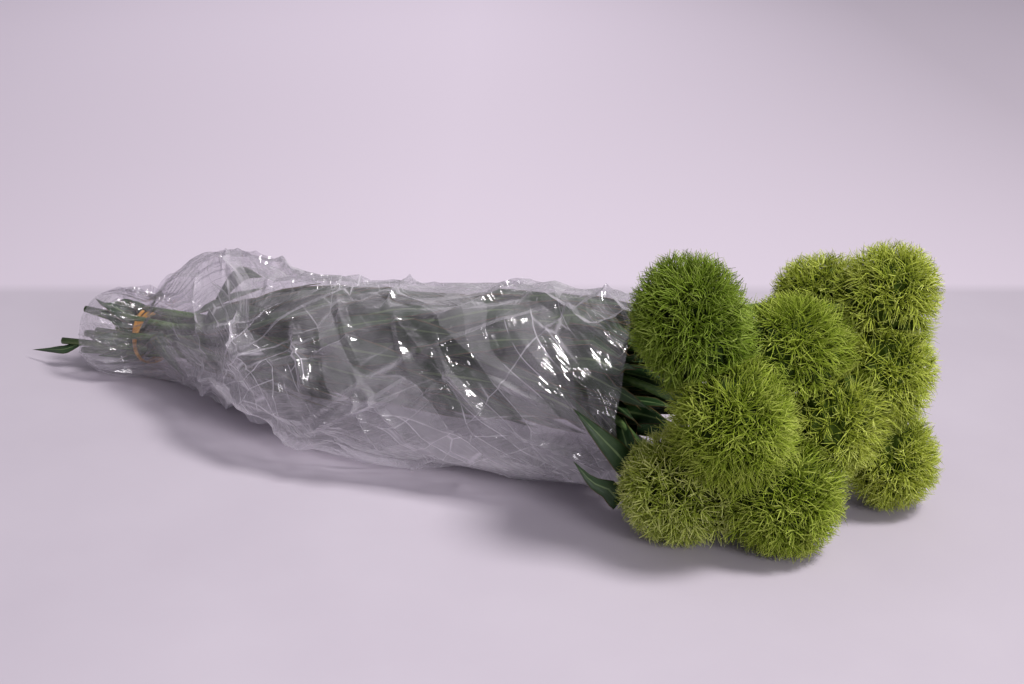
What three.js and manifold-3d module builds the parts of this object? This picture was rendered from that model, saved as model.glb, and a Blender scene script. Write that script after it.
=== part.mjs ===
// A bunch of ten green, ball-headed sweet williams, lying on its side as it is sold: the leafy
// stems are tied by a rubber band near their cut ends and slipped into a clear film sleeve, and
// the round heads stand out of the sleeve's mouth. Millimetres, +Z up. +X runs along the bunch,
// from the cut ends to the heads, and the surface it lies on is z = 0.

import * as THREE from 'three';
import { mergeVertices } from 'three/addons/utils/BufferGeometryUtils.js';
import Module from 'manifold-3d';

const wasm = await Module();
wasm.setup();

const FLOOR = 0;
const GAP = 0.3;

// Flowers, each a head on its stem. at is the middle of the head, r its radius out to the bract
// tips and tall its height over its width. turn is where the stem lies round the bundle, in
// degrees from +Y towards +Z, and inner marks the two stems in the middle. cut is where the stem
// was cut off, and past a place where it bends clear of another head or of the film.
const FLOWERS = [
  {
    name: '1', at: [210, -55, 141], r: 34.5, tall: 1.1, turn: 120, cut: [-299, -9, 44],
    past: [164, -18, 100.7],
  },
  { name: '2', at: [256, 0, 112], r: 31.5, turn: 75, inner: true, cut: [-286, 7, 37] },
  { name: '3', at: [244, -65, 85], r: 33, turn: 165, cut: [-291, -20, 29] },
  { name: '4', at: [208, -57, 32], r: 34.5, turn: 210, cut: [-311, -25, 21] },
  { name: '5', at: [271, -41, 31], r: 34, turn: 255, cut: [-302, -14, 11], past: [206, -15, 45] },
  { name: '6', at: [314, 42, 29], r: 30.5, turn: 300, cut: [-288, 9, 12] },
  { name: '7', at: [305, 42, 89], r: 30.5, turn: 345, cut: [-290, 13, 21] },
  { name: '8', at: [301, 57, 137], r: 29.5, turn: 75, cut: [-284, 8, 45], past: [262, 35, 124] },
  { name: '9', at: [252, 69, 119], r: 29, turn: 30, cut: [-287, 15, 34] },
  { name: '10', at: [286, 1, 70], r: 29, turn: 255, inner: true, cut: [-295, -4, 25] },
];

// Bundle of stems: where its middle lies in the band, half way along and at the film's mouth
const BUNDLE = [
  { x: -246, y: 4, z: 26, ring: 12.3 },
  { x: -60, y: -9, z: 61, ring: 21 },
  { x: 132, y: 13, z: 74, ring: 25 },
];
const INNER_SHARE = 0.37;
const HEAD_PULL = 0.16;

const STEM_RADIUS = 2.6;
const STEM_SIDES = 5;
const STEM_STEPS = 12;
const STEM_FINE_STEP = 0.1;

// A head. Shares are of its radius.
const HEAD_DETAIL = 3;
const CORE_SHARE = 0.75;
const BRACT_SHORTEST = 0.93;
const BRACT_LEAN = 0.2;
const ENTRY_ANGLE = 24;

// Pairs of leaves up each stem
const PAIRS_PER_STEM = 5;
const FIRST_PAIR_X = -222;
const FIRST_PAIR_SPREAD = 40;
const FIRST_PAIR_TURN = 40;
const PAIR_TURN = 90;
const PAIR_LOOSENESS = 25;
const LAST_PAIR_BELOW_HEAD = 46;

// A leaf. The ranges are shares of the usual length and width.
const LEAF_LENGTH = 88;
const LEAF_LENGTH_RANGE = [0.8, 1.1];
const LEAF_WIDTH = 17;
const LEAF_WIDTH_RANGE = [0.8, 1.15];
const LEAF_NARROWEST = 0.6;
const LEAF_THICKNESS = 1.1;
const LEAF_RISE = 0.42;
const LEAF_DROOP = 0.35;
const LEAF_ROOT_SHARE = 0.4;
const LANCE_FOOT = 0.06;
const LANCE_BELLY = 0.62;
const LEAF_SIDES = 3;
const LEAF_STEPS = 4;

// What a leaf keeps clear: its rib and edges of its neighbours, its tip and sides of the heads,
// and all of it of the band and of the surface. It needs the least room to grow at all.
const LEAF_LEAST_ROOM = 7;
const RIB_ROOM = 0.5;
const EDGE_ROOM = 0.45;
const TIP_ROOM = 3;
const HEAD_ROOM = 1.5;
const BAND_ROOM = 1.5;
const FLOOR_ROOM = 1;

// Lower leaves that the band bends back to the cut ends: the stem each is on, the x of its
// foot and the side it grows from
const BACK_LEAVES = [
  { on: '1', start: -232, turn: 105, length: 54, width: 17, heading: -1 },
  { on: '3', start: -228, turn: 172, length: 52, width: 18, heading: -1 },
  { on: '4', start: -233, turn: 205, length: 44, width: 13, heading: -1 },
  { on: '8', start: -230, turn: 70, length: 52, width: 16, heading: -1 },
  { on: '9', start: -230, turn: 20, length: 50, width: 15, heading: -1 },
  { on: '6', start: -232, turn: 310, length: 46, width: 14, heading: -1 },
];

// Leaves in the open: two that hang out of the film's mouth and back along its outside, and
// one that trails past the cut ends
const OPEN_LEAVES = [
  {
    on: '4', start: 158, width: 13,
    places: [[169, -35, 50], [174, -50, 51], [166, -58, 60], [146, -60, 79]],
  },
  {
    on: '5', start: 160, width: 10,
    places: [[172, -24, 24], [178, -46, 16], [171, -64, 24], [150, -65, 43]],
  },
  {
    on: '4', start: -296, width: 7,
    places: [[-306, -28, 16], [-322, -27, 12], [-345, -25, 7]],
  },
];
const OPEN_LEAF_FACES = new THREE.Vector3(0.25, -0.8, 0.55);

// Film sleeve, station by station along x: middle in y, half-width and half-height. It lies on
// the surface, which presses it flat below.
const SLEEVE = [
  { x: -286, y: -5, wide: 28, high: 31 },
  { x: -262, y: -5, wide: 33, high: 34 },
  { x: -237, y: 4, wide: 27, high: 31 },
  { x: -217, y: 9, wide: 36, high: 44 },
  { x: -196, y: 8, wide: 44, high: 51 },
  { x: -168, y: 4, wide: 50, high: 54 },
  { x: -132, y: -3, wide: 59, high: 54 },
  { x: -90, y: -15, wide: 71, high: 54 },
  { x: -45, y: -19, wide: 77, high: 56 },
  { x: 0, y: -15, wide: 75, high: 57 },
  { x: 50, y: -8, wide: 71, high: 61 },
  { x: 100, y: -2, wide: 68, high: 63 },
  { x: 148, y: 8, wide: 60, high: 62 },
];
const SLEEVE_WALL = 0.8;
const SLEEVE_SINK = 5;
const SLEEVE_SIDES = 16;
const SLEEVE_CRUMPLE = 2.4;
const SLEEVE_ROOM = 4.8;
const SLEEVE_SKEW = 17;
const SLEEVE_SKEW_FROM = 50;

const BAND = { x: -246, y: 4, z: 26, r: 20 };
const BAND_LOOPS = [-9, 0, 8];
const BAND_WIDTH = 2.4;
const BAND_THICKNESS = 1.6;
const BAND_SIDES = 14;
const BAND_CROSSING = 200;
const BAND_REACH = 14;
const BAND_STEP = 0.15;

const rad = THREE.MathUtils.degToRad;
const lerp = THREE.MathUtils.lerp;

// An even scatter from 0 to 1 that is the same on every run
function scatter(seed) {
  const wave = Math.sin(seed * 12.9898 + 4.1414) * 43758.5453;
  return wave - Math.floor(wave);
}

// The value at x of a smooth line through stations
function throughStations(stations, key, x) {
  const last = stations.length - 1;
  let i = 0;
  while (i < last - 1 && x > stations[i + 1].x) i += 1;
  const slope = (a, b) => (stations[b][key] - stations[a][key]) / (stations[b].x - stations[a].x);
  const start = slope(Math.max(i - 1, 0), i + 1);
  const end = slope(i, Math.min(i + 2, last));
  const span = stations[i + 1].x - stations[i].x;
  const t = THREE.MathUtils.clamp((x - stations[i].x) / span, 0, 1);
  const between = lerp(stations[i][key], stations[i + 1][key], t * t * (3 - 2 * t));
  return between + span * t * (1 - t) * (start * (1 - t) - end * t);
}

// The stations that one stem passes, from its cut end to its head
function stemStations(flower) {
  const station = ([x, y, z]) => ({ x, y, z });
  const inBundle = ({ x, y, z, ring }) => {
    const radius = flower.inner ? ring * INNER_SHARE : ring;
    const turn = rad(flower.turn);
    return { x, y: y + Math.cos(turn) * radius, z: z + Math.sin(turn) * radius };
  };
  const [band, middle, mouth] = BUNDLE.map(inBundle);
  mouth.y = lerp(mouth.y, flower.at[1], HEAD_PULL);
  mouth.z = lerp(mouth.z, flower.at[2], HEAD_PULL);
  const bend = flower.past ? [station(flower.past)] : [];
  return [station(flower.cut), band, middle, mouth, ...bend, station(flower.at)];
}
FLOWERS.forEach((flower) => { flower.stations = stemStations(flower); });

function stemAt(flower, x) {
  const y = throughStations(flower.stations, 'y', x);
  const z = throughStations(flower.stations, 'z', x);
  return new THREE.Vector3(x, y, z);
}

function headMiddle(flower) {
  return new THREE.Vector3(...flower.at);
}

// Where a point lies from a head's middle, as it would if the head were as tall as it is wide
function fromHead(flower, point) {
  const offset = point.clone().sub(headMiddle(flower));
  offset.z /= flower.tall ?? 1;
  return offset;
}

// The film's section at x
function filmAt(x) {
  const wide = throughStations(SLEEVE, 'wide', x);
  const high = throughStations(SLEEVE, 'high', x);
  return { y: throughStations(SLEEVE, 'y', x), z: FLOOR + high - SLEEVE_SINK, wide, high };
}

// How far a point can go one way before it leaves an oval that lies across the bunch
function insideOval(oval, point, way) {
  const here = new THREE.Vector2((point.y - oval.y) / oval.wide, (point.z - oval.z) / oval.high);
  const step = new THREE.Vector2(way.y / oval.wide, way.z / oval.high);
  const along = here.dot(step);
  const spread = along * along + step.lengthSq() * (1 - here.lengthSq());
  return (Math.sqrt(Math.max(spread, 0)) - along) / step.lengthSq();
}

// How far a point can go one way before it touches a head
function clearOfHead(flower, point, way) {
  const radius = flower.r * (flower.tall ?? 1) + HEAD_ROOM;
  const offset = point.clone().sub(headMiddle(flower));
  const along = offset.dot(way);
  const outside = offset.lengthSq() - radius * radius;
  if (outside < 0) return 0;
  const chord = along * along - outside;
  return along < 0 && chord > 0 ? -along - Math.sqrt(chord) : Infinity;
}

// How far a leaf can reach from a point, across the bunch, before it leaves the room of its
// stem: half way to the next stems, clear of the heads, inside film and band, off the surface
function room(flower, point, way) {
  const own = stemAt(flower, point.x);
  const limits = [];
  FLOWERS.forEach((other) => {
    limits.push(clearOfHead(other, point, way));
    if (other === flower) return;
    const there = stemAt(other, point.x);
    const half = there.clone().add(own).multiplyScalar(0.5);
    const towards = there.sub(own).normalize();
    const closing = way.dot(towards);
    if (closing > 1e-6) limits.push(half.sub(point).dot(towards) / closing);
  });
  const { y, z, wide, high } = filmAt(point.x);
  const film = { y, z, wide: wide - SLEEVE_ROOM, high: high - SLEEVE_ROOM };
  const covered = point.x > SLEEVE[0].x && point.x < SLEEVE[SLEEVE.length - 1].x + SLEEVE_SKEW;
  if (covered) limits.push(insideOval(film, point, way));
  if (Math.abs(point.x - BAND.x) < BAND_REACH) {
    const radius = BAND.r - BAND_ROOM;
    limits.push(insideOval({ y: BAND.y, z: BAND.z, wide: radius, high: radius }, point, way));
  }
  if (way.z < 0) limits.push((FLOOR + FLOOR_ROOM - point.z) / way.z);
  return Math.min(...limits);
}

// Moves each corner of a closed three.js shape
function shaped(geometry, place) {
  geometry.deleteAttribute('normal');
  geometry.deleteAttribute('uv');
  const merged = mergeVertices(geometry, 1e-5);
  const position = merged.getAttribute('position');
  const corner = new THREE.Vector3();
  for (let i = 0; i < position.count; i += 1) {
    const moved = place(corner.fromBufferAttribute(position, i));
    position.setXYZ(i, moved.x, moved.y, moved.z);
  }
  return merged;
}

function asSolid(geometry) {
  const vertProperties = new Float32Array(geometry.getAttribute('position').array);
  const triVerts = new Uint32Array(geometry.index.array);
  return new wasm.Manifold(new wasm.Mesh({ numProp: 3, vertProperties, triVerts }));
}

function joined(geometries) {
  const solid = geometries.map(asSolid).reduce((whole, piece) => whole.add(piece));
  const mesh = solid.getMesh();
  const geometry = new THREE.BufferGeometry();
  geometry.setAttribute('position', new THREE.BufferAttribute(mesh.vertProperties, 3));
  geometry.setIndex(new THREE.BufferAttribute(mesh.triVerts, 1));
  return geometry;
}

// The x at which a stem meets the core of its head
function stemTop(flower) {
  const wanted = flower.r * CORE_SHARE + GAP * 2;
  let x = flower.at[0] - flower.r;
  while (fromHead(flower, stemAt(flower, x)).length() > wanted) x += STEM_FINE_STEP;
  return x;
}

function stemTube(flower) {
  const tube = new THREE.CylinderGeometry(STEM_RADIUS, STEM_RADIUS, 1, STEM_SIDES, STEM_STEPS);
  const start = flower.cut[0];
  const end = stemTop(flower);
  return shaped(tube, (v) => {
    const x = lerp(start, end, v.y + 0.5);
    const here = stemAt(flower, x);
    const along = stemAt(flower, x + 1).sub(here).normalize();
    const across = new THREE.Vector3().crossVectors(along, THREE.Object3D.DEFAULT_UP).normalize();
    const up = new THREE.Vector3().crossVectors(across, along);
    return here.addScaledVector(across, v.x).addScaledVector(up, v.z);
  });
}

// A leaf blade along a rib, lance-shaped, flat above and keeled below. rib gives the places
// along the rib, side is the way across the blade and free how far each half may reach.
function blade({ rib, side, width, free }) {
  const keel = new THREE.ConeGeometry(1, 1, LEAF_SIDES, LEAF_STEPS);
  return shaped(keel, (v) => {
    const t = v.y + 0.5;
    const point = rib(t);
    if (t > 0.999) return point;
    const across = v.x / (1 - t);
    if (Math.abs(across) < 0.5) {
      const along = rib(t + 0.02).sub(point).normalize();
      const normal = new THREE.Vector3().crossVectors(side, along).normalize();
      return point.addScaledVector(normal, Math.max(v.z, 0) / (1 - t) * LEAF_THICKNESS);
    }
    const way = side.clone().multiplyScalar(Math.sign(across));
    const lance = Math.sin(Math.PI * (LANCE_FOOT + (1 - LANCE_FOOT) * t) ** LANCE_BELLY);
    const half = Math.max(width / 2 * lance, LEAF_THICKNESS);
    return point.addScaledVector(way, Math.min(half, free(point, way)));
  });
}

function turnedWay(turn) {
  return new THREE.Vector3(0, Math.cos(rad(turn)), Math.sin(rad(turn)));
}

// A leaf in the bunch: it leaves the stem and then runs beside it. start is the x of its foot,
// turn the side of the stem it grows from, and heading says whether it points to the heads or
// back to the cut ends.
function leaf(flower, { start, turn, length, width, heading = 1 }) {
  const outward = turnedWay(turn);
  const rib = (t) => {
    const point = stemAt(flower, start + heading * length * t);
    const free = room(flower, point, outward) - LEAF_THICKNESS - RIB_ROOM;
    const wanted = length * LEAF_RISE * t * (1 - LEAF_DROOP * t);
    const least = STEM_RADIUS * LEAF_ROOT_SHARE;
    return point.addScaledVector(outward, Math.max(Math.min(wanted, free), least));
  };
  const free = (point, way) => Math.max(room(flower, point, way) - EDGE_ROOM, LEAF_NARROWEST);
  return blade({ rib, side: turnedWay(turn + 90), width, free });
}

function openLeaf(flower, { start, places, width }) {
  const route = [stemAt(flower, start), ...places.map((place) => new THREE.Vector3(...place))];
  const curve = new THREE.CatmullRomCurve3(route);
  const rib = (t) => curve.getPoint(Math.min(t, 1));
  const along = route[route.length - 1].clone().sub(route[1]);
  const side = OPEN_LEAF_FACES.clone().cross(along).normalize();
  return blade({ rib, side, width, free: () => width });
}

// Leaves in pairs up the stem, each pair a quarter turn from the last. A leaf that its
// neighbours would crush to nothing is left out.
function pairedLeaves(flower, number) {
  const first = FIRST_PAIR_X + FIRST_PAIR_SPREAD * scatter(number * 5 + 1);
  const last = flower.at[0] - flower.r - LAST_PAIR_BELOW_HEAD;
  const leaves = [];
  for (let pair = 0; pair < PAIRS_PER_STEM; pair += 1) {
    for (let half = 0; half < 2; half += 1) {
      const seed = number * 31 + pair * 7 + half * 3;
      const start = lerp(first, last, pair / (PAIRS_PER_STEM - 1));
      const longest = flower.at[0] - flower.r - TIP_ROOM - start;
      const length = Math.min(LEAF_LENGTH * lerp(...LEAF_LENGTH_RANGE, scatter(seed)), longest);
      const width = LEAF_WIDTH * lerp(...LEAF_WIDTH_RANGE, scatter(seed + 1));
      const loose = lerp(-PAIR_LOOSENESS, PAIR_LOOSENESS, scatter(seed + 2));
      const turn = flower.turn + FIRST_PAIR_TURN + PAIR_TURN * pair + 180 * half + loose;
      const middle = stemAt(flower, start + length / 2);
      const free = room(flower, middle, turnedWay(turn));
      if (free > LEAF_LEAST_ROOM) leaves.push({ start, turn, length, width });
    }
  }
  return leaves;
}

function leafyStem(flower, number) {
  const own = (one) => one.on === flower.name;
  const bunched = [...pairedLeaves(flower, number), ...BACK_LEAVES.filter(own)];
  const blades = bunched.map((one) => leaf(flower, one));
  const open = OPEN_LEAVES.filter(own).map((one) => openLeaf(flower, one));
  return joined([stemTube(flower), ...blades, ...open]);
}

// A head: a round core bristling with pointed bracts. Where two heads meet they press each
// other flat half way between, and the surface presses the lowest ones flat.
function head(flower, number) {
  const middle = headMiddle(flower);
  const entry = fromHead(flower, stemAt(flower, stemTop(flower))).normalize();
  const rivals = FLOWERS.filter((other) => other !== flower).map((other) => {
    const towards = headMiddle(other).sub(middle);
    const apart = towards.length();
    const border = (apart * apart + flower.r ** 2 - other.r ** 2) / (2 * apart) - GAP / 2;
    return { towards: towards.normalize(), border };
  });
  const pressed = (offset) => {
    offset.z *= flower.tall ?? 1;
    rivals.forEach(({ towards, border }) => {
      const beyond = Math.max(offset.dot(towards) - border, 0);
      offset.addScaledVector(towards, -beyond);
    });
    const point = offset.add(middle);
    point.z = Math.max(point.z, FLOOR);
    return point;
  };
  const core = shaped(new THREE.IcosahedronGeometry(1, HEAD_DETAIL), (v) => v.normalize());
  const corners = core.getAttribute('position');
  const wayOf = (i) => new THREE.Vector3().fromBufferAttribute(corners, i);
  const ways = [...Array(corners.count).keys()].map(wayOf);
  const points = ways.map((way) => pressed(way.clone().multiplyScalar(flower.r * CORE_SHARE)));
  const triangles = [];
  for (let face = 0; face < core.index.count / 3; face += 1) {
    const [a, b, c] = [0, 1, 2].map((corner) => core.index.getX(face * 3 + corner));
    const way = ways[a].clone().add(ways[b]).add(ways[c]).normalize();
    if (way.dot(entry) > Math.cos(rad(ENTRY_ANGLE))) {
      triangles.push(a, b, c);
    } else {
      const seed = number * 401 + face;
      const lean = [0.1, 0.3, 0.6].map((shift) => (scatter(seed + shift) - 0.5) * BRACT_LEAN);
      const length = flower.r * lerp(BRACT_SHORTEST, 1, scatter(seed + 0.9));
      const tip = way.add(new THREE.Vector3(...lean)).normalize().multiplyScalar(length);
      const top = points.push(pressed(tip)) - 1;
      triangles.push(a, b, top, b, c, top, c, a, top);
    }
  }
  return new THREE.BufferGeometry().setFromPoints(points).setIndex(triangles);
}

// The film sleeve: a thin wall round the bunch, crumpled, open at both ends. Its mouth
// reaches further along the bunch on one side than on the other. Both faces of the wall are
// split into triangles alike, so that they keep their distance where the film is crumpled.
function sleeve() {
  const rings = (SLEEVE.length - 1) * 2;
  const outline = [];
  for (let i = 0; i <= rings; i += 1) outline.push(new THREE.Vector2(1, i));
  for (let i = rings; i >= 0; i -= 1) outline.push(new THREE.Vector2(2, i));
  outline.push(outline[0].clone());
  const wall = new THREE.LatheGeometry(outline, SLEEVE_SIDES);
  const corners = wall.index.array;
  for (let i = 0; i < corners.length; i += 6) {
    const row = (i / 6) % (outline.length - 1);
    const [a, b, d, c] = corners.slice(i, i + 4);
    if (row > rings) corners.set([a, b, c, a, c, d], i);
  }
  const mouth = SLEEVE[SLEEVE.length - 1].x;
  return shaped(wall, (v) => {
    const station = Math.min(Math.floor(v.y / 2), SLEEVE.length - 2);
    const x = lerp(SLEEVE[station].x, SLEEVE[station + 1].x, v.y / 2 - station);
    const turn = Math.atan2(v.z, v.x);
    const side = Math.round(turn / rad(360) * SLEEVE_SIDES + SLEEVE_SIDES) % SLEEVE_SIDES;
    const inset = Math.hypot(v.x, v.z) > 1.5 ? 0 : SLEEVE_WALL;
    const crumple = lerp(-1, 1, scatter(Math.round(v.y) * 29 + side)) * SLEEVE_CRUMPLE - inset;
    const film = filmAt(x);
    const y = film.y + Math.cos(turn) * (film.wide + crumple);
    const z = Math.max(film.z + Math.sin(turn) * (film.high + crumple), FLOOR + inset);
    const skew = THREE.MathUtils.smoothstep(x, SLEEVE_SKEW_FROM, mouth) * SLEEVE_SKEW;
    return new THREE.Vector3(x - Math.cos(turn) * skew, y, z);
  });
}

// The rubber band: three turns that spread on one side and cross on the other
function rubberBand() {
  const loops = BAND_LOOPS.map((spread, number) => {
    const loop = new THREE.TorusGeometry(BAND.r, 1, 4, BAND_SIDES);
    return shaped(loop, (v) => {
      const turn = Math.atan2(v.y, v.x);
      const outward = Math.hypot(v.x, v.y) - BAND.r;
      const away = (1 - Math.cos(turn - rad(BAND_CROSSING))) / 2;
      const x = BAND.x + spread * away + v.z * BAND_WIDTH / 2;
      const r = BAND.r + outward * BAND_THICKNESS / 2 + number * BAND_STEP;
      return new THREE.Vector3(x, BAND.y + Math.cos(turn) * r, BAND.z + Math.sin(turn) * r);
    });
  });
  return joined(loops);
}

const HEAD_GREEN = { color: 0x7d9a2e, roughness: 0.75, metalness: 0 };
const LEAF_GREEN = { color: 0x3f5a2f, roughness: 0.6, metalness: 0 };
const CLEAR_FILM = { color: 0xe9e6f0, roughness: 0.15, metalness: 0, transparent: true, opacity: 0.3 };
const RUBBER = { color: 0xb9781f, roughness: 0.55, metalness: 0 };

function named(name, geometry, finish) {
  const mesh = new THREE.Mesh(geometry, new THREE.MeshStandardMaterial(finish));
  mesh.name = name;
  return mesh;
}

const bunch = new THREE.Group();
FLOWERS.forEach((flower, number) => {
  bunch.add(named(`head_${flower.name}`, head(flower, number), HEAD_GREEN));
  bunch.add(named(`stem_${flower.name}`, leafyStem(flower, number), LEAF_GREEN));
});
bunch.add(named('film_sleeve', sleeve(), CLEAR_FILM));
bunch.add(named('rubber_band', rubberBand(), RUBBER));

export default bunch;
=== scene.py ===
# A bunch of ten green, ball-headed sweet williams, lying on its side as it is sold. It is built
# in the order in which it grows and is packed: leafy stems, heads, rubber band, film sleeve.
# Sizes in each section are in millimetres, and a finished mesh is scaled to metres. +X runs
# along the bunch from the cut ends to the heads, and the surface it lies on is z = 0.

import math

import bmesh
import bpy
import numpy as np
from mathutils import Matrix, Vector, noise


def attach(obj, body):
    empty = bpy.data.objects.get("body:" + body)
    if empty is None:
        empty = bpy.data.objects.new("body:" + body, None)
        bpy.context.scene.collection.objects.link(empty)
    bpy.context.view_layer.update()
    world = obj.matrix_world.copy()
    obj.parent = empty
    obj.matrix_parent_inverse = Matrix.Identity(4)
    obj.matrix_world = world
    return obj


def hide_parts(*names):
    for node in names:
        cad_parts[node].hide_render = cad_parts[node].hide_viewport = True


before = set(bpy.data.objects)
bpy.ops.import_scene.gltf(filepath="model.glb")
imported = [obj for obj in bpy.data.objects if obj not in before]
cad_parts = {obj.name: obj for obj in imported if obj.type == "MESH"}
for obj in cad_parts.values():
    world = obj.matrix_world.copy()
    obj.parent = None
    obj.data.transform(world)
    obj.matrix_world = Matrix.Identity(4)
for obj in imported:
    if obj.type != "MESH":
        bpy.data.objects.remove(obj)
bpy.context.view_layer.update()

# Camera: it stands on the heads' side of the bunch, a little above it, and looks down along it.
# The lens takes in 40 degrees across.
CAMERA_PLACE = (0.4615, -0.771, 0.430)
CAMERA_TILT = 68
CAMERA_HEADING = 27
CAMERA_LENS = 49.465
SENSOR_WIDTH = 36

camera = bpy.data.objects.new("camera", bpy.data.cameras.new("camera"))
camera.location = CAMERA_PLACE
camera.rotation_euler = (math.radians(CAMERA_TILT), 0, math.radians(CAMERA_HEADING))
camera.data.lens = CAMERA_LENS
camera.data.sensor_width = SENSOR_WIDTH
bpy.context.scene.collection.objects.link(camera)
bpy.context.scene.camera = camera

# Stems: ten, cut off square at one end with a head on the other. Each is a green stalk with
# swollen joints, and it bends gently through the band and the sleeve out to its head. turn is
# where it lies round the bundle, in degrees from +Y towards +Z, and past is a bend on its way.
FLOWERS = {
    "1": {
        "at": (210, -55, 141), "r": 34.5, "tall": 1.1, "turn": 120, "cut": (-299, -9, 44),
        "past": (164, -18, 100.7),
    },
    "2": {"at": (256, 0, 112), "r": 31.5, "turn": 75, "cut": (-286, 7, 37), "inner": True},
    "3": {"at": (244, -65, 85), "r": 33, "stars": 0.3, "turn": 165, "cut": (-291, -20, 29)},
    "4": {"at": (208, -57, 32), "r": 34.5, "stars": 0.6, "turn": 210, "cut": (-311, -25, 21)},
    "5": {
        "at": (271, -41, 31), "r": 34, "stars": 0.4, "turn": 255, "cut": (-302, -14, 11),
        "past": (206, -15, 45),
    },
    "6": {"at": (314, 42, 29), "r": 30.5, "turn": 300, "cut": (-288, 9, 12)},
    "7": {"at": (305, 42, 89), "r": 30.5, "turn": 345, "cut": (-290, 13, 21)},
    "8": {"at": (301, 57, 137), "r": 29.5, "turn": 75, "cut": (-284, 8, 45), "past": (262, 35, 124)},
    "9": {"at": (252, 69, 119), "r": 29, "turn": 30, "cut": (-287, 15, 34)},
    "10": {"at": (286, 1, 70), "r": 29, "turn": 255, "cut": (-295, -4, 25), "inner": True},
}
BUNDLE = [(-246, 4, 26, 12.3), (-60, -9, 61, 21), (132, 13, 74, 25)]
INNER_SHARE = 0.37
HEAD_PULL = 0.16
STEM_RADIUS = 2.6
STEM_SIDES = 10
STEM_STEPS = 90
STEM_END_SHARE = 0.6
STEM_END_STEP = 0.2
JOINT_SWELL = 0.45
JOINT_LENGTH = 3.5
CUT_RIM = 0.35


def scatter(seed):
    """An even scatter from 0 to 1 that is the same on every run."""
    wave = math.sin(seed * 12.9898 + 4.1414) * 43758.5453
    return wave - math.floor(wave)


def between(low, high, seed):
    """A scattered value from low to high."""
    return low + (high - low) * scatter(seed)


def through_stations(stations, x):
    """What a smooth line through stations has at x. A station is an x and its values there."""
    last = len(stations) - 1
    i = 0
    while i < last - 1 and x > stations[i + 1][0]:
        i += 1
    near, far = stations[i], stations[i + 1]
    before, after = stations[max(i - 1, 0)], stations[min(i + 2, last)]
    span = far[0] - near[0]
    t = min(max((x - near[0]) / span, 0), 1)
    ease = t * t * (3 - 2 * t)
    values = []
    for k in range(1, len(near)):
        start = (far[k] - before[k]) / (far[0] - before[0])
        end = (after[k] - near[k]) / (after[0] - near[0])
        bend = span * t * (1 - t) * (start * (1 - t) - end * t)
        values.append(near[k] + (far[k] - near[k]) * ease + bend)
    return values


def stem_stations(flower):
    """The places that a stem passes from its cut end to its head."""
    turn = math.radians(flower["turn"])
    places = [flower["cut"]]
    for x, y, z, ring in BUNDLE:
        radius = ring * INNER_SHARE if flower.get("inner") else ring
        places.append([x, y + math.cos(turn) * radius, z + math.sin(turn) * radius])
    mouth, head = places[-1], flower["at"]
    mouth[1] += (head[1] - mouth[1]) * HEAD_PULL
    mouth[2] += (head[2] - mouth[2]) * HEAD_PULL
    if "past" in flower:
        places.append(flower["past"])
    return places + [head]


for flower in FLOWERS.values():
    flower["stations"] = stem_stations(flower)


def stem_at(flower, x):
    """The middle of a stem at x."""
    return Vector((x, *through_stations(flower["stations"], x)))


def stem_end(flower):
    """The x at which a stem ends, within its head."""
    middle = Vector(flower["at"])
    x = middle.x - flower["r"]
    while (stem_at(flower, x) - middle).length > flower["r"] * STEM_END_SHARE:
        x += STEM_END_STEP
    return x


def finished(name, bm, materials):
    """Scales a mesh to metres and makes it a piece that rides with the bunch."""
    bmesh.ops.scale(bm, vec=(0.001,) * 3, verts=bm.verts)
    mesh = bpy.data.meshes.new(name)
    bm.to_mesh(mesh)
    bm.free()
    for material in materials:
        mesh.materials.append(material)
    piece = bpy.data.objects.new(name, mesh)
    bpy.context.scene.collection.objects.link(piece)
    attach(piece, "root")
    return piece


def new_material(name):
    """A node material with its shader, and functions that add nodes and links to it."""
    material = bpy.data.materials.new(name)
    material.use_nodes = True
    nodes, links = material.node_tree.nodes, material.node_tree.links
    shader = nodes["Principled BSDF"]

    def add(kind, **settings):
        node = nodes.new(kind)
        for key, value in settings.items():
            if key in node.inputs:
                node.inputs[key].default_value = value
            else:
                setattr(node, key, value)
        return node

    return material, shader, add, links.new


def ramp(add, stops):
    """A colour ramp through stops, each a place and a colour."""
    node = add("ShaderNodeValToRGB")
    elements = node.color_ramp.elements
    while len(elements) < len(stops):
        elements.new(0.5)
    for element, (place, colour) in zip(elements, stops):
        element.position = place
        element.color = (*colour, 1)
    return node


def stem_material():
    """Fresh stalk: satin green and streaked along its length."""
    material, shader, add, link = new_material("stalk_green")
    place = add("ShaderNodeTexCoord")
    stretch = add("ShaderNodeMapping", Scale=(14, 160, 160))
    streak = add("ShaderNodeTexNoise", Scale=3.0, Detail=5.0)
    colours = ramp(add, [(0.3, (0.055, 0.12, 0.03)), (0.55, (0.12, 0.21, 0.055)), (0.8, (0.24, 0.33, 0.11))])
    bump = add("ShaderNodeBump", Strength=0.25, Distance=0.0004)
    link(place.outputs["Object"], stretch.inputs["Vector"])
    link(stretch.outputs["Vector"], streak.inputs["Vector"])
    link(streak.outputs["Fac"], colours.inputs["Fac"])
    link(streak.outputs["Fac"], bump.inputs["Height"])
    link(colours.outputs["Color"], shader.inputs["Base Color"])
    link(bump.outputs["Normal"], shader.inputs["Normal"])
    shader.inputs["Roughness"].default_value = 0.42
    return material


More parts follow.
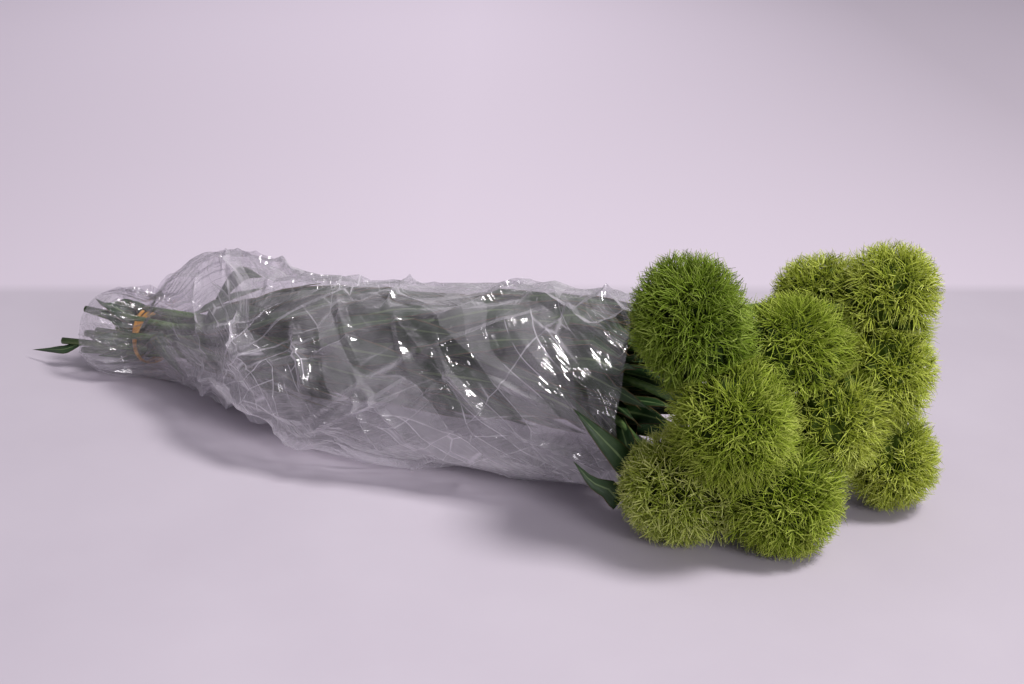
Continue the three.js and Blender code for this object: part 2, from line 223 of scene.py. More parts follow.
def cut_material():
    """The sawn-off end of a stalk: pale pith that has browned in spots."""
    material, shader, add, link = new_material("cut_pith")
    place = add("ShaderNodeTexCoord")
    spots = add("ShaderNodeTexNoise", Scale=900.0, Detail=3.0)
    colours = ramp(add, [(0.35, (0.16, 0.09, 0.03)), (0.6, (0.42, 0.36, 0.16))])
    link(place.outputs["Object"], spots.inputs["Vector"])
    link(spots.outputs["Fac"], colours.inputs["Fac"])
    link(colours.outputs["Color"], shader.inputs["Base Color"])
    shader.inputs["Roughness"].default_value = 0.8
    return material


def stalk(bm, flower, joints):
    """A stalk from its cut end to inside its head, swollen at the joints where leaves grow."""
    bmesh.ops.create_cone(
        bm, cap_ends=True, segments=STEM_SIDES, radius1=STEM_RADIUS, radius2=STEM_RADIUS, depth=1)
    long_edges = [e for e in bm.edges if abs(e.verts[0].co.z - e.verts[1].co.z) > 0.5]
    bmesh.ops.subdivide_edges(bm, edges=long_edges, cuts=STEM_STEPS)
    cut = next(f for f in bm.faces if f.normal.z < -0.9)
    bmesh.ops.inset_individual(bm, faces=[cut], thickness=CUT_RIM, depth=-CUT_RIM / 2)
    cut.material_index = 1
    start, end = flower["cut"][0], stem_end(flower)
    for vert in bm.verts:
        x = start + (end - start) * (vert.co.z + 0.5)
        here = stem_at(flower, x)
        along = (stem_at(flower, x + 1) - here).normalized()
        across = along.cross(Vector((0, 0, 1))).normalized()
        up = across.cross(along)
        swell = 1 + JOINT_SWELL * sum(math.exp(-(((x - joint) / JOINT_LENGTH) ** 2)) for joint in joints)
        vert.co = here + (across * vert.co.x + up * vert.co.y) * swell


# Leaves: in pairs that clasp the stem at its joints, lance-shaped and channelled, with a pale
# midrib. They run beside the stems, pressed by the film, the band and the surface. Eleven are
# bent back to the cut ends, two hang out of the film's mouth, and one trails past the cut ends.
PAIRS_PER_STEM = 15
FIRST_PAIR_X = -222
FIRST_PAIR_SPREAD = 40
FIRST_PAIR_TURN = 40
PAIR_TURN = 54
PAIR_LOOSENESS = 25
LAST_PAIR_BELOW_HEAD = 46
LAST_TIP_X = 190
LEAF_LENGTH = 96
LEAF_LENGTH_RANGE = (0.8, 1.1)
LEAF_WIDTH = 21
LEAF_WIDTH_RANGE = (0.8, 1.15)
LEAF_NARROWEST = 0.6
LEAF_THICKNESS = 0.45
LEAF_RISE = 0.42
LEAF_DROOP = 0.35
LEAST_RISE = 0.9
OUTER_SHARE = 0.2
LANCE_FOOT = 0.06
LANCE_BELLY = 0.62
LEAF_STEPS = 10
LEAF_STRIPS = 4
LEAF_CHANNEL = 0.16
LEAF_RIPPLE = 0.7
LEAF_LEAST_ROOM = 5
RIB_ROOM = 1.6
EDGE_ROOM = 0.6
TIP_ROOM = 3
HEAD_ROOM = 1.5
BAND_ROOM = 1.5
BAND_REACH = 14
FLOOR_ROOM = 1
FILM_ROOM = 4.8
BACK_LEAVES = [
    {"on": "1", "start": -232, "turn": 105, "length": 54, "width": 21},
    {"on": "3", "start": -228, "turn": 172, "length": 52, "width": 22},
    {"on": "4", "start": -233, "turn": 205, "length": 44, "width": 16},
    {"on": "8", "start": -230, "turn": 70, "length": 52, "width": 20},
    {"on": "9", "start": -230, "turn": 20, "length": 50, "width": 19},
    {"on": "6", "start": -232, "turn": 310, "length": 46, "width": 18},
    {"on": "7", "start": -236, "turn": 350, "length": 42, "width": 19},
    {"on": "5", "start": -238, "turn": 240, "length": 44, "width": 19},
    {"on": "1", "start": -240, "turn": 140, "length": 40, "width": 20},
    {"on": "3", "start": -242, "turn": 190, "length": 36, "width": 20},
    {"on": "8", "start": -240, "turn": 100, "length": 38, "width": 19},
]
OPEN_LEAVES = [
    {
        "on": "4", "start": 158, "width": 16,
        "places": [(179, -56, 39), (171, -65, 52), (159, -70, 66), (146, -72, 78)],
    },
    {
        "on": "5", "start": 160, "width": 14,
        "places": [(177, -62, 21), (170, -70, 28), (160, -74, 33), (149, -76, 45)],
    },
    {"on": "4", "start": -296, "width": 7, "places": [(-306, -28, 16), (-322, -27, 12), (-345, -25, 7)]},
    {"on": "8", "start": -192, "width": 17, "places": [(-175, 14, 78), (-157, 9, 90), (-136, 4, 92)]},
    {"on": "4", "start": -238, "width": 13, "places": [(-222, -20, 40), (-206, -25, 28), (-190, -27, 14)]},
]
OPEN_LEAF_FACES = Vector((0.25, -0.8, 0.55))

# The film's and the band's places are known here, because the leaves lie inside them. A film
# station is its x, its middle in y, and its half-width and half-height.
FILM_STATIONS = [
    (-286, -5, 28, 31), (-262, -5, 33, 34), (-237, 4, 27, 31), (-217, 9, 36, 44), (-196, 8, 44, 51),
    (-168, 4, 50, 54), (-132, -3, 59, 54), (-90, -15, 71, 54), (-45, -19, 77, 56), (0, -15, 75, 57),
    (50, -8, 71, 61), (100, -2, 68, 63), (148, 8, 60, 62),
]
FILM_SINK = 5
FILM_SKEW = 17
BAND = {"x": -246, "y": 4, "z": 26, "r": 20}


def film_at(x):
    """The film's oval at x: its middle in y and z, half-width and half-height."""
    y, wide, high = through_stations(FILM_STATIONS, x)
    return y, high - FILM_SINK, wide, high


def inside_oval(oval, point, way):
    """How far a point can go one way before it leaves an oval that lies across the bunch."""
    y, z, wide, high = oval
    here = Vector(((point.y - y) / wide, (point.z - z) / high))
    step = Vector((way.y / wide, way.z / high))
    along = here.dot(step)
    spread = along * along + step.length_squared * (1 - here.length_squared)
    return (math.sqrt(max(spread, 0)) - along) / step.length_squared


def clear_of_head(flower, point, way):
    """How far a point can go one way before it touches a head."""
    radius = flower["r"] * flower.get("tall", 1) + HEAD_ROOM
    offset = point - Vector(flower["at"])
    along = offset.dot(way)
    outside = offset.length_squared - radius * radius
    if outside < 0:
        return 0
    chord = along * along - outside
    return -along - math.sqrt(chord) if along < 0 and chord > 0 else math.inf


def clear_of_stems(flower, point, way):
    """How far a point can go across the bunch before it is half way to another stem."""
    own = stem_at(flower, point.x)
    limits = [math.inf]
    for other in FLOWERS.values():
        if other is flower:
            continue
        there = stem_at(other, point.x)
        towards = (there - own).normalized()
        closing = way.dot(towards)
        if closing > 1e-6:
            limits.append(((there + own) / 2 - point).dot(towards) / closing)
    return min(limits)


def room(flower, point, way, outer):
    """How far a leaf can reach from a point. An outer leaf lies outside the other stems."""
    limits = [clear_of_head(other, point, way) for other in FLOWERS.values()]
    if not outer:
        limits.append(clear_of_stems(flower, point, way))
    y, z, wide, high = film_at(point.x)
    if FILM_STATIONS[0][0] < point.x < FILM_STATIONS[-1][0] + FILM_SKEW:
        limits.append(inside_oval((y, z, wide - FILM_ROOM, high - FILM_ROOM), point, way))
    if abs(point.x - BAND["x"]) < BAND_REACH:
        radius = BAND["r"] - BAND_ROOM
        limits.append(inside_oval((BAND["y"], BAND["z"], radius, radius), point, way))
    if way.z < 0:
        limits.append((FLOOR_ROOM - point.z) / way.z)
    return min(limits)


def turned_way(turn):
    """The way across the bunch at a turn in degrees from +Y towards +Z."""
    return Vector((0, math.cos(math.radians(turn)), math.sin(math.radians(turn))))


def lies_outside(flower, turn):
    """Whether a leaf at a turn points away from the other stems."""
    return not flower.get("inner") and turned_way(turn).dot(turned_way(flower["turn"])) > OUTER_SHARE


def blade(bm, rib, side, width, free, seed):
    """A leaf blade along a rib. side is the way across it, and free how far each half may go."""
    leaf = bmesh.new()
    leaf.loops.layers.uv.new("UVMap")
    bmesh.ops.create_grid(leaf, x_segments=LEAF_STEPS, y_segments=LEAF_STRIPS, size=1, calc_uvs=True)
    ripple = between(3, 6, seed + 0.4)
    for vert in leaf.verts:
        t = (vert.co.x + 1) / 2
        across = vert.co.y
        point = rib(t)
        along = (rib(t + 0.02) - point).normalized()
        normal = side.cross(along).normalized()
        lance = math.sin(math.pi * (LANCE_FOOT + (1 - LANCE_FOOT) * t) ** LANCE_BELLY)
        way = side if across > 0 else -side
        half = min(width / 2 * max(lance, 0), free(point, way))
        channel = LEAF_CHANNEL * half * abs(across) ** 1.5
        wave = LEAF_RIPPLE * math.sin(ripple * math.pi * t + seed) * abs(across) * lance
        vert.co = point + way * half * abs(across) + normal * (channel + wave)
        vert.co.z = max(vert.co.z, FLOOR_ROOM)
    bmesh.ops.remove_doubles(leaf, verts=leaf.verts, dist=0.02)
    bmesh.ops.solidify(leaf, geom=leaf.faces, thickness=LEAF_THICKNESS)
    bmesh.ops.recalc_face_normals(leaf, faces=leaf.faces)
    append(bm, leaf)


def append(bm, extra):
    """Adds one bmesh to another and frees the one added."""
    mesh = bpy.data.meshes.new("part")
    extra.to_mesh(mesh)
    extra.free()
    bm.from_mesh(mesh)
    bpy.data.meshes.remove(mesh)


def bunch_leaf(bm, flower, start, turn, length, width, seed, heading=1):
    """A leaf in the bunch: it leaves the stem and runs beside it, back where heading is -1."""
    outward, side = turned_way(turn), turned_way(turn + 90)
    outer = lies_outside(flower, turn)

    def rib(t):
        point = stem_at(flower, start + heading * length * t)
        free = room(flower, point, outward, outer) - LEAF_THICKNESS - RIB_ROOM
        wanted = length * LEAF_RISE * t * (1 - LEAF_DROOP * t)
        return point + outward * max(min(wanted, free), STEM_RADIUS * LEAST_RISE)

    def free(point, way):
        return max(room(flower, point, way, outer) - EDGE_ROOM, LEAF_NARROWEST)

    blade(bm, rib, side, width, free, seed)


def open_leaf(bm, flower, start, places, width, seed):
    """A leaf in the open, along a curve that runs from its foot through its places."""
    route = [stem_at(flower, start)] + [Vector(place) for place in places]
    marks = [(i / (len(route) - 1), *point) for i, point in enumerate(route)]
    side = OPEN_LEAF_FACES.cross(route[-1] - route[1]).normalized()
    blade(bm, lambda t: Vector(through_stations(marks, t)), side, width, lambda point, way: width, seed)


def leaf_pairs(flower, number):
    """Where each leaf of a stem's pairs grows, how it is turned, and its size."""
    first = FIRST_PAIR_X + FIRST_PAIR_SPREAD * scatter(number * 5 + 1)
    head_foot = flower["at"][0] - flower["r"]
    last = min(head_foot, LAST_TIP_X) - LAST_PAIR_BELOW_HEAD
    leaves = []
    for place in range(PAIRS_PER_STEM):
        start = first + (last - first) * place / (PAIRS_PER_STEM - 1)
        for half in range(2):
            seed = number * 31 + place * 4.2 + half * 3
            longest = min(head_foot - TIP_ROOM, LAST_TIP_X) - start
            length = min(LEAF_LENGTH * between(*LEAF_LENGTH_RANGE, seed), longest)
            width = LEAF_WIDTH * between(*LEAF_WIDTH_RANGE, seed + 1)
            loose = between(-PAIR_LOOSENESS, PAIR_LOOSENESS, seed + 2)
            turn = flower["turn"] + FIRST_PAIR_TURN + PAIR_TURN * place + 180 * half + loose
            middle = stem_at(flower, start + length / 2)
            if room(flower, middle, turned_way(turn), lies_outside(flower, turn)) > LEAF_LEAST_ROOM:
                leaves.append({"start": start, "turn": turn, "length": length, "width": width, "seed": seed})
    return leaves


def leaf_material():
    """Leaf: dark satin green with a pale midrib, fine veins beside it and a thin worn edge."""
    material, shader, add, link = new_material("leaf_green")
    place = add("ShaderNodeTexCoord")
    split = add("ShaderNodeSeparateXYZ")
    mottle = add("ShaderNodeTexNoise", Scale=45.0, Detail=6.0, Roughness=0.6)
    greens = [(0.3, (0.018, 0.05, 0.016)), (0.55, (0.035, 0.085, 0.025)), (0.75, (0.075, 0.14, 0.045))]
    base = ramp(add, greens)
    from_rib = add("ShaderNodeMath", operation="SUBTRACT")
    from_rib.inputs[1].default_value = 0.5
    distance = add("ShaderNodeMath", operation="ABSOLUTE")
    rib = ramp(add, [(0.0, (1, 1, 1)), (0.03, (0.8, 0.8, 0.8)), (0.06, (0, 0, 0))])
    edge = ramp(add, [(0.46, (0, 0, 0)), (0.49, (1, 1, 1))])
    veins = add("ShaderNodeTexWave", wave_type="BANDS", bands_direction="Y", Scale=5.5, Distortion=0.6)
    vein_tone = add("ShaderNodeMix", data_type="RGBA", blend_type="MULTIPLY")
    with_rib = add("ShaderNodeMix", data_type="RGBA")
    with_edge = add("ShaderNodeMix", data_type="RGBA")
    bump = add("ShaderNodeBump", Strength=0.35, Distance=0.0005)
    link(place.outputs["Object"], mottle.inputs["Vector"])
    link(place.outputs["UV"], split.inputs["Vector"])
    link(place.outputs["UV"], veins.inputs["Vector"])
    link(split.outputs["Y"], from_rib.inputs[0])
    link(from_rib.outputs["Value"], distance.inputs[0])
    link(distance.outputs["Value"], rib.inputs["Fac"])
    link(distance.outputs["Value"], edge.inputs["Fac"])
    link(mottle.outputs["Fac"], base.inputs["Fac"])
    vein_tone.inputs["Factor"].default_value = 0.35
    link(base.outputs["Color"], vein_tone.inputs["A"])
    link(veins.outputs["Color"], vein_tone.inputs["B"])
    link(rib.outputs["Color"], with_rib.inputs["Factor"])
    link(vein_tone.outputs["Result"], with_rib.inputs["A"])
    with_rib.inputs["B"].default_value = (0.17, 0.25, 0.10, 1)
    link(edge.outputs["Color"], with_edge.inputs["Factor"])
    link(with_rib.outputs["Result"], with_edge.inputs["A"])
    with_edge.inputs["B"].default_value = (0.14, 0.09, 0.035, 1)
    link(with_edge.outputs["Result"], shader.inputs["Base Color"])
    link(veins.outputs["Fac"], bump.inputs["Height"])
    link(bump.outputs["Normal"], shader.inputs["Normal"])
    shader.inputs["Roughness"].default_value = 0.4
    return material


stalk_green, cut_pith, leaf_green = stem_material(), cut_material(), leaf_material()
LEAF_INDEX = 2
for number, (name, flower) in enumerate(FLOWERS.items()):
    pairs = leaf_pairs(flower, number)
    bm = bmesh.new()
    bm.loops.layers.uv.new("UVMap")
    stalk(bm, flower, {leaf["start"] for leaf in pairs})
    stalk_faces = set(bm.faces)
    for leaf in pairs:
        bunch_leaf(bm, flower, **leaf)
    for leaf in (one for one in BACK_LEAVES if one["on"] == name):
        bunch_leaf(bm, flower, leaf["start"], leaf["turn"], leaf["length"], leaf["width"], number, heading=-1)
    for leaf in (one for one in OPEN_LEAVES if one["on"] == name):
        open_leaf(bm, flower, leaf["start"], leaf["places"], leaf["width"], number)
    for face in bm.faces:
        face.smooth = True
        if face not in stalk_faces:
            face.material_index = LEAF_INDEX
    bmesh.ops.triangulate(bm, faces=bm.faces)
    stem = finished(f"leafy_stem_{name}", bm, [stalk_green, cut_pith, leaf_green])
    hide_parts(f"stem_{name}")

# Heads: each is a ball of hundreds of thread-like green bracts, with no petals. The bracts grow
# in tufts on short stalks round a dense middle and end in paler tips; the middle and the bracts'
# roots are painted dark as shade. The heads press on each other and on the surface below, and
# their bracts fill the hollows between them.
TUFTS_PER_HEAD = 165
BRACTS_PER_TUFT = 25
STAR_BRACTS = 8
TUFT_KINDS = 14
STAR_KINDS = 5
TUFT_HEIGHT = 15
BRACT_LENGTHS = (9, 16)
BRACT_RADIUS = 0.35
BRACT_TIP_SHARE = 0.3
BRACT_STEPS = 3
BRACT_LEANS = (62, 78)
TOP_LEAN = 16
STALK_SHARE = 0.45
STAR_LENGTHS = (6, 11)
STAR_RADIUS = 0.45
STAR_LEANS = (20, 78)
STAR_FOOT = 0.62
CURL = 0.13
GOLDEN_ANGLE = 2.39996
CORE_SHARE = 0.6
CORE_LUMPS = 0.3
ROOT_SHARE = 0.6
USUAL_RADIUS = 33
EDGE_SHARE = 0.97
EDGE_SOFTNESS = 0.5
BLEND = 1.15
BLEND_REACH = 1.5
PRESS_DEPTH = 3.0
MINGLE = 1.5
FLOOR_PRESS = 2.5

MIDDLES = np.array([flower["at"] for flower in FLOWERS.values()], float)
RADII = np.array([flower["r"] for flower in FLOWERS.values()], float)
TALLS = np.array([(1, 1, flower.get("tall", 1)) for flower in FLOWERS.values()], float)


def straight_bract():
    """One bract standing straight up, 1 long and 1 in radius at its foot, thinner at its tip."""
    bm = bmesh.new()
    bmesh.ops.create_cone(bm, cap_ends=True, segments=3, radius1=1, radius2=BRACT_TIP_SHARE, depth=1)
    long_edges = [e for e in bm.edges if abs(e.verts[0].co.z - e.verts[1].co.z) > 0.5]
    bmesh.ops.subdivide_edges(bm, edges=long_edges, cuts=BRACT_STEPS - 1)
    bmesh.ops.translate(bm, vec=(0, 0, 0.5), verts=bm.verts)
    bmesh.ops.triangulate(bm, faces=bm.faces)
    layer = bm.loops.layers.uv.new("UVMap")
    for face in bm.faces:
        for loop in face.loops:
            loop[layer].uv = (loop.vert.co.z, 0.5)
    mesh = bpy.data.meshes.new("bract")
    bm.to_mesh(mesh)
    bm.free()
    return mesh


def bract_shape(i, seed, star):
    """Where a bract of a tuft starts, its way, how far it bends and curls off it, its radius."""
    turn = i * GOLDEN_ANGLE + between(-0.5, 0.5, seed)
    outward = Vector((math.cos(turn), math.sin(turn), 0))
    sideways = Vector((-math.sin(turn), math.cos(turn), 0))
    if star:
        lean = math.radians(between(*STAR_LEANS, seed + 0.2))
        root = Vector((0, 0, TUFT_HEIGHT * STAR_FOOT))
        length = between(*STAR_LENGTHS, seed + 0.7)
        bend = sideways * between(-0.25, 0.25, seed + 0.9) + Vector((0, 0, between(-0.1, 0.25, seed + 0.5)))
        radius = STAR_RADIUS * between(0.85, 1.15, seed + 1.1)
    else:
        height = i / BRACTS_PER_TUFT
        lean = math.radians(between(*BRACT_LEANS, seed + 0.2) * (1 - height) + TOP_LEAN * height)
        root = outward * 0.5 + Vector((0, 0, height * TUFT_HEIGHT * STALK_SHARE))
        length = between(*BRACT_LENGTHS, seed + 0.7) * (1 - 0.2 * height)
        lift = Vector((0, 0, between(0.15, 0.6, seed + 0.5))) * (1 - height)
        bend = lift + sideways * between(-0.65, 0.65, seed + 0.9) - outward * between(-0.35, 0.5, seed + 0.3)
        radius = BRACT_RADIUS * between(0.8, 1.25, seed + 1.1)
    way = outward * math.sin(lean) + Vector((0, 0, math.cos(lean)))
    curl = sideways * between(-CURL, CURL, seed + 1.3)
    return root, way * length, bend * length, curl * length, radius


def tuft_of_bracts(bract, kind):
    """A tuft: bracts leave a short stalk all round. Some kinds end in a star of broader ones."""
    bm = bmesh.new()
    layer = bm.loops.layers.uv.new("UVMap")
    for i in range(BRACTS_PER_TUFT):
        seed = kind * 97 + i * 3.7
        star = kind < STAR_KINDS and i >= BRACTS_PER_TUFT - STAR_BRACTS
        root, way, bend, curl, radius = bract_shape(i, seed, star)
        flat = way.orthogonal().normalized()
        deep = way.cross(flat).normalized()
        shade = 1 if star else 0.8 * scatter(seed + 1.7)
        count = len(bm.verts)
        bm.from_mesh(bract)
        bm.verts.ensure_lookup_table()
        new = bm.verts[count:]
        for vert in new:
            t = vert.co.z
            middle = root + way * t + bend * t * t + curl * math.sin(1.5 * math.pi * t)
            vert.co = middle + (flat * vert.co.x + deep * vert.co.y) * radius
        for face in {f for vert in new for f in vert.link_faces}:
            for loop in face.loops:
                loop[layer].uv.y = shade
    mesh = bpy.data.meshes.new("tuft")
    bm.to_mesh(mesh)
    bm.free()
    return mesh


def mass_depth(points):
    """How far points are from the middle of the mass of heads: 1 on its outside, less within."""
    offsets = (points[:, None, :] - MIDDLES[None]) / TALLS[None]
    shares = (offsets ** 2).sum(2) / RADII[None] ** 2
    field = np.exp(-BLEND * (shares - 1)).sum(1)
    return np.sqrt(np.maximum(1 - np.log(field) / BLEND, 0.01))


def reach_of(flower, way):
    """How far a head's own part of the mass reaches one way, as a share of its radius."""
    steps = np.linspace(1, BLEND_REACH, 25)
    along = np.array(way) * (1, 1, flower.get("tall", 1)) * flower["r"]
    outside = mass_depth(np.array(flower["at"]) + steps[:, None] * along) > 1
    return steps[np.argmax(outside)] if outside.any() else BLEND_REACH


def settle(points, number):
    """Keeps a head's points inside the mass, its own part of it, and above the surface."""
    middle = MIDDLES[number]
    depth = mass_depth(points)
    kept = np.minimum(depth, EDGE_SHARE + EDGE_SOFTNESS * (depth - EDGE_SHARE))
    points = middle + (points - middle) * (kept / depth)[:, None]
    for other in range(len(MIDDLES)):
        towards = MIDDLES[other] - middle
        apart = np.linalg.norm(towards)
        if other == number or apart > (RADII[number] + RADII[other]) * BLEND_REACH:
            continue
        towards = towards / apart
        border = (apart ** 2 + RADII[number] ** 2 - RADII[other] ** 2) / (2 * apart) + MINGLE
        beyond = (points - middle) @ towards - (border - PRESS_DEPTH)
        left = PRESS_DEPTH * (1 - np.exp(-np.maximum(beyond, 0) / PRESS_DEPTH))
        points = points - np.where(beyond > 0, beyond - left, 0)[:, None] * towards
    low = points[:, 2] < FLOOR_PRESS
    points[low, 2] = FLOOR_PRESS * np.exp(points[low, 2] / FLOOR_PRESS - 1)
    return points


def ball_of_tufts(flower, number, tufts):
    """A whole head: tufts spread evenly over a core painted dark as shade."""
    bm = bmesh.new()
    layer = bm.loops.layers.uv.new("UVMap")
    made = bmesh.ops.create_icosphere(bm, subdivisions=4, radius=flower["r"] * CORE_SHARE)
    for vert in made["verts"]:
        way = vert.co.normalized()
        lumps = CORE_LUMPS * noise.noise(vert.co * 0.4 + Vector((number, 0, 0)))
        vert.co *= reach_of(flower, way) * (1 + lumps)
    # The core takes the bracts' root colour, dark as painted shade.
    for face in bm.faces:
        for loop in face.loops:
            loop[layer].uv = (0, 0)
    scale = flower["r"] / USUAL_RADIUS
    count = round(TUFTS_PER_HEAD * scale * scale)
    for i in range(count):
        seed = number * 401 + i * 1.7
        height = 1 - 2 * (i + 0.5) / count
        turn = i * GOLDEN_ANGLE + number
        level = math.sqrt(1 - height * height)
        way = Vector((level * math.cos(turn), level * math.sin(turn), height))
        way += Vector([between(-0.1, 0.1, seed + shift) for shift in (0.1, 0.3, 0.6)])
        way.normalize()
        kind = int(scatter(seed + 0.9) * STAR_KINDS)
        if scatter(seed + 2.3) > flower.get("stars", 0.12):
            kind = STAR_KINDS + int(scatter(seed + 0.9) * (TUFT_KINDS - STAR_KINDS))
        before = len(bm.verts)
        bm.from_mesh(tufts[kind])
        bm.verts.ensure_lookup_table()
        spin = Matrix.Rotation(between(0, 2 * math.pi, seed + 1.3), 4, "Z")
        grow = Matrix.Scale(scale * between(0.9, 1.08, seed + 1.9), 4)
        stand = way.to_track_quat("Z", "Y").to_matrix().to_4x4()
        root = Matrix.Translation(way * flower["r"] * ROOT_SHARE * reach_of(flower, way))
        bmesh.ops.transform(bm, matrix=root @ stand @ spin @ grow, verts=bm.verts[before:])
    points = np.array([vert.co for vert in bm.verts])
    points = settle(MIDDLES[number] + points * TALLS[number], number)
    for vert, point in zip(bm.verts, points):
        vert.co = point
    return bm


def bract_material(name, deep, body, tip):
    """Bracts: deep green at the root as painted shade, fresh green along their length and pale at the tip."""
    material, shader, add, link = new_material(name)
    place = add("ShaderNodeTexCoord")
    split = add("ShaderNodeSeparateXYZ")
    # The deep colour at the root is painted shade inside the head.
    along = ramp(add, [(0.0, deep), (0.3, body), (0.75, body), (1.0, tip)])
    mottle = add("ShaderNodeTexNoise", Scale=60.0, Detail=3.0)
    tones = ramp(add, [(0.3, (0.72, 0.78, 0.55)), (0.7, (1.0, 1.0, 1.0))])
    paler = add("ShaderNodeMix", data_type="RGBA")
    fresh = ramp(add, [(0.5, (0, 0, 0)), (0.8, (0.45, 0.45, 0.45)), (1.0, (1, 1, 1))])
    mixed = add("ShaderNodeMix", data_type="RGBA", blend_type="MULTIPLY")
    grow = add("ShaderNodeMath", operation="MULTIPLY")
    link(place.outputs["UV"], split.inputs["Vector"])
    link(place.outputs["Object"], mottle.inputs["Vector"])
    link(split.outputs["X"], along.inputs["Fac"])
    link(split.outputs["Y"], fresh.inputs["Fac"])
    link(fresh.outputs["Color"], grow.inputs[0])
    link(split.outputs["X"], grow.inputs[1])
    link(grow.outputs["Value"], paler.inputs["Factor"])
    link(along.outputs["Color"], paler.inputs["A"])
    paler.inputs["B"].default_value = (*tip, 1)
    mixed.inputs["Factor"].default_value = 1
    link(paler.outputs["Result"], mixed.inputs["A"])
    link(mottle.outputs["Fac"], tones.inputs["Fac"])
    link(tones.outputs["Color"], mixed.inputs["B"])
    link(mixed.outputs["Result"], shader.inputs["Base Color"])
    shader.inputs["Roughness"].default_value = 0.7
    shader.inputs["Specular IOR Level"].default_value = 0.15
    return material


# Copies of the bract material: the heads on the right take a brighter copy, which is painted light; head 1 a
# darker one, partly its own darker bracts and partly painted shade; head 4 its own paler bracts.
fresh_look = bract_material("bract_green", (0.03, 0.055, 0.004), (0.32, 0.41, 0.04), (0.56, 0.62, 0.15))
painted_lit_look = bract_material("bract_painted_lit", (0.05, 0.08, 0.007), (0.49, 0.56, 0.075), (0.74, 0.79, 0.24))
dark_and_shaded_look = bract_material("bract_dark_and_shaded", (0.02, 0.04, 0.004), (0.20, 0.29, 0.025), (0.40, 0.49, 0.12))
pale_look = bract_material("bract_pale", (0.05, 0.07, 0.01), (0.46, 0.55, 0.08), (0.80, 0.82, 0.34))
looks = {"1": dark_and_shaded_look, "2": fresh_look, "3": fresh_look, "4": pale_look, "5": fresh_look}
bract = straight_bract()
tufts = [tuft_of_bracts(bract, kind) for kind in range(TUFT_KINDS)]
for number, (name, flower) in enumerate(FLOWERS.items()):
    bm = ball_of_tufts(flower, number, tufts)
    head = finished(f"bract_head_{name}", bm, [looks.get(name, painted_lit_look)])
    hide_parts(f"head_{name}")

# Rubber band: one band of amber rubber wound three times round the stems, inside the film. Its
# turns spread on one side and cross on the other, each a little over the one before.
BAND_LOOPS = (-9, 0, 8)
BAND_WIDTH = 2.9
BAND_THICKNESS = 1.7
BAND_CROSSING = 200
BAND_STEPS = 72
BAND_ROUNDING = 0.7
BAND_LAP = 0.15


def rubber_material():
    """Rubber: amber, with a dull bloom on it."""
    material, shader, add, link = new_material("amber_rubber")
    place = add("ShaderNodeTexCoord")
    bloom = add("ShaderNodeTexNoise", Scale=400.0, Detail=4.0)
    colours = ramp(add, [(0.35, (0.70, 0.30, 0.02)), (0.7, (0.95, 0.50, 0.07))])
    link(place.outputs["Object"], bloom.inputs["Vector"])
    link(bloom.outputs["Fac"], colours.inputs["Fac"])
    link(colours.outputs["Color"], shader.inputs["Base Color"])
    shader.inputs["Roughness"].default_value = 0.45
    return material


bm = bmesh.new()
for number, spread in enumerate(BAND_LOOPS):
    loop = bmesh.new()
    bmesh.ops.create_grid(loop, x_segments=1, y_segments=1, size=1)
    bmesh.ops.rotate(loop, cent=(0, 0, 0), matrix=Matrix.Rotation(math.pi / 2, 3, "X"), verts=loop.verts)
    bmesh.ops.bevel(
        loop, geom=loop.verts[:], offset=BAND_ROUNDING, segments=2, profile=0.5, affect="VERTICES",
        material=-1)
    bmesh.ops.translate(loop, vec=(BAND["r"], 0, 0), verts=loop.verts)
    bmesh.ops.spin(
        loop, geom=loop.edges[:] + loop.verts[:], axis=(0, 0, 1), cent=(0, 0, 0),
        angle=2 * math.pi, steps=BAND_STEPS, use_merge=True)
    bmesh.ops.delete(loop, geom=[f for f in loop.faces if len(f.verts) > 4], context="FACES_ONLY")
    for vert in loop.verts:
        turn = math.atan2(vert.co.y, vert.co.x)
        outward = math.hypot(vert.co.x, vert.co.y) - BAND["r"]
        away = (1 - math.cos(turn - math.radians(BAND_CROSSING))) / 2
        r = BAND["r"] + outward * BAND_THICKNESS / 2 + number * BAND_LAP
        x = BAND["x"] + spread * away + vert.co.z * BAND_WIDTH / 2
        vert.co = (x, BAND["y"] + math.cos(turn) * r, BAND["z"] + math.sin(turn) * r)
    bmesh.ops.remove_doubles(loop, verts=loop.verts, dist=0.01)
    bmesh.ops.recalc_face_normals(loop, faces=loop.faces)
    append(bm, loop)
for face in bm.faces:
    face.smooth = True
band = finished("wound_rubber_band", bm, [rubber_material()])
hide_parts("rubber_band")

# Film sleeve: a sheet of clear film wrapped round the bunch and lapped along the underside. It
# is crumpled into sharp straight folds, and drawn in to pleats where it narrows over the band.
FILM_RADIUS = 62
FILM_LAP = 5
FILM_THICKNESS = 0.12
FILM_STEPS = 40
FILM_STRIPS = 34
FILM_SKEW_FROM = 50
FOLDED_STRETCH = (-190, 150)
LONG_FOLDS = {
    "count": 110, "turns": (-10, 250), "headings": (15, 75),
    "long": (14, 50), "wide": (2.5, 6), "high": (2, 6),
}
FACETS = {
    "count": 60, "turns": (-60, 240), "headings": (-80, 80),
    "long": (30, 80), "wide": (8, 18), "high": (-5, 5),
}
PLEATS = {
    "count": 44, "places": (-8, 22), "headings": (-12, 12),
    "long": (28, 62), "wide": (2.2, 4.2), "high": (2.5, 6),
}
FOLD_MARGINS = (4, 12)
SHEET_PER_UV = 100
FILM_WAVE = 1.6
LAP_GAP = 0.6
FLOOR_GAP = 0.15
FLATTENED = 0.25
MOUTH_RAGGED = 5
MOUTH_FURTHER = 0.6


